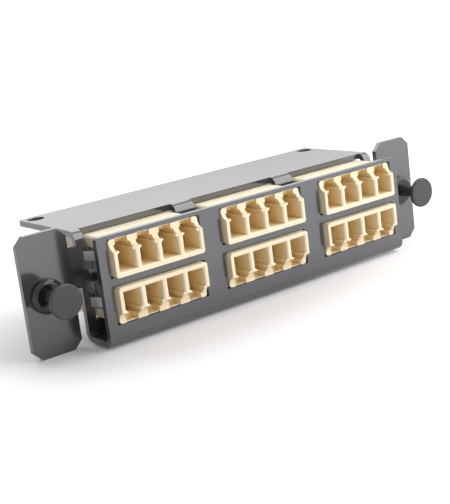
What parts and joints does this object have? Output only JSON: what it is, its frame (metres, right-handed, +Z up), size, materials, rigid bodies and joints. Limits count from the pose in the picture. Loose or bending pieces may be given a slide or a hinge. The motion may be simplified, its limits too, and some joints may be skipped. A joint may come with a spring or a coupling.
{
  "type": "fibre adapter bracket",
  "caption": "Folded sheet bracket that holds two rows of multi-port LC fibre adapters, with chamfered ears, push plungers for a panel and a rear plate with fixing holes.",
  "frame": {"origin": "midway between the two plunger axes, on the back of the ears, which is the face that seats on the panel", "axes": "+X along the plate from the left ear to the right ear, +Y to the back, along the plungers, +Z up; the front ports face -Y"},
  "size_m": [0.1296, 0.0401, 0.0302],
  "materials": {
    "sheet_paint": "satin powder coat, dark grey",
    "adapter_plastic": "beige moulded plastic, semi-gloss",
    "clip_steel": "bright spring steel",
    "sleeve_ceramic": "polished zirconia",
    "grommet_nylon": "glossy black nylon",
    "plunger_nylon": "satin dark grey nylon"
  },
  "bodies": {
    "plate": {"bracket": "sheet_paint", "upper_1_front_housing": "adapter_plastic", "upper_1_rear_housing": "adapter_plastic", "upper_1_sleeve_holder": "adapter_plastic", "upper_1_clip": "clip_steel", "upper_1_sleeve_1": "sleeve_ceramic", "upper_1_sleeve_2": "sleeve_ceramic", "upper_1_sleeve_3": "sleeve_ceramic", "upper_1_sleeve_4": "sleeve_ceramic", "upper_2_front_housing": "adapter_plastic", "upper_2_rear_housing": "adapter_plastic", "upper_2_sleeve_holder": "adapter_plastic", "upper_2_clip": "clip_steel", "upper_2_sleeve_1": "sleeve_ceramic", "upper_2_sleeve_2": "sleeve_ceramic", "upper_2_sleeve_3": "sleeve_ceramic", "upper_2_sleeve_4": "sleeve_ceramic", "upper_3_front_housing": "adapter_plastic", "upper_3_rear_housing": "adapter_plastic", "upper_3_sleeve_holder": "adapter_plastic", "upper_3_clip": "clip_steel", "upper_3_sleeve_1": "sleeve_ceramic", "upper_3_sleeve_2": "sleeve_ceramic", "upper_3_sleeve_3": "sleeve_ceramic", "upper_3_sleeve_4": "sleeve_ceramic", "lower_1_front_housing": "adapter_plastic", "lower_1_rear_housing": "adapter_plastic", "lower_1_sleeve_holder": "adapter_plastic", "lower_1_clip": "clip_steel", "lower_1_sleeve_1": "sleeve_ceramic", "lower_1_sleeve_2": "sleeve_ceramic", "lower_1_sleeve_3": "sleeve_ceramic", "lower_1_sleeve_4": "sleeve_ceramic", "lower_2_front_housing": "adapter_plastic", "lower_2_rear_housing": "adapter_plastic", "lower_2_sleeve_holder": "adapter_plastic", "lower_2_clip": "clip_steel", "lower_2_sleeve_1": "sleeve_ceramic", "lower_2_sleeve_2": "sleeve_ceramic", "lower_2_sleeve_3": "sleeve_ceramic", "lower_2_sleeve_4": "sleeve_ceramic", "lower_3_front_housing": "adapter_plastic", "lower_3_rear_housing": "adapter_plastic", "lower_3_sleeve_holder": "adapter_plastic", "lower_3_clip": "clip_steel", "lower_3_sleeve_1": "sleeve_ceramic", "lower_3_sleeve_2": "sleeve_ceramic", "lower_3_sleeve_3": "sleeve_ceramic", "lower_3_sleeve_4": "sleeve_ceramic", "left_grommet": "grommet_nylon", "right_grommet": "grommet_nylon"},
    "left_plunger": {"left_plunger": "plunger_nylon"},
    "right_plunger": {"right_plunger": "plunger_nylon"}
  },
  "joints": [
    {"name": "left_plunger_push", "type": "slide", "parent": "plate", "child": "left_plunger", "axis": [0, 1, 0], "range_m": [0, 0.0053]},
    {"name": "right_plunger_push", "type": "slide", "parent": "plate", "child": "right_plunger", "axis": [0, 1, 0], "range_m": [0, 0.0053]}
  ]
}
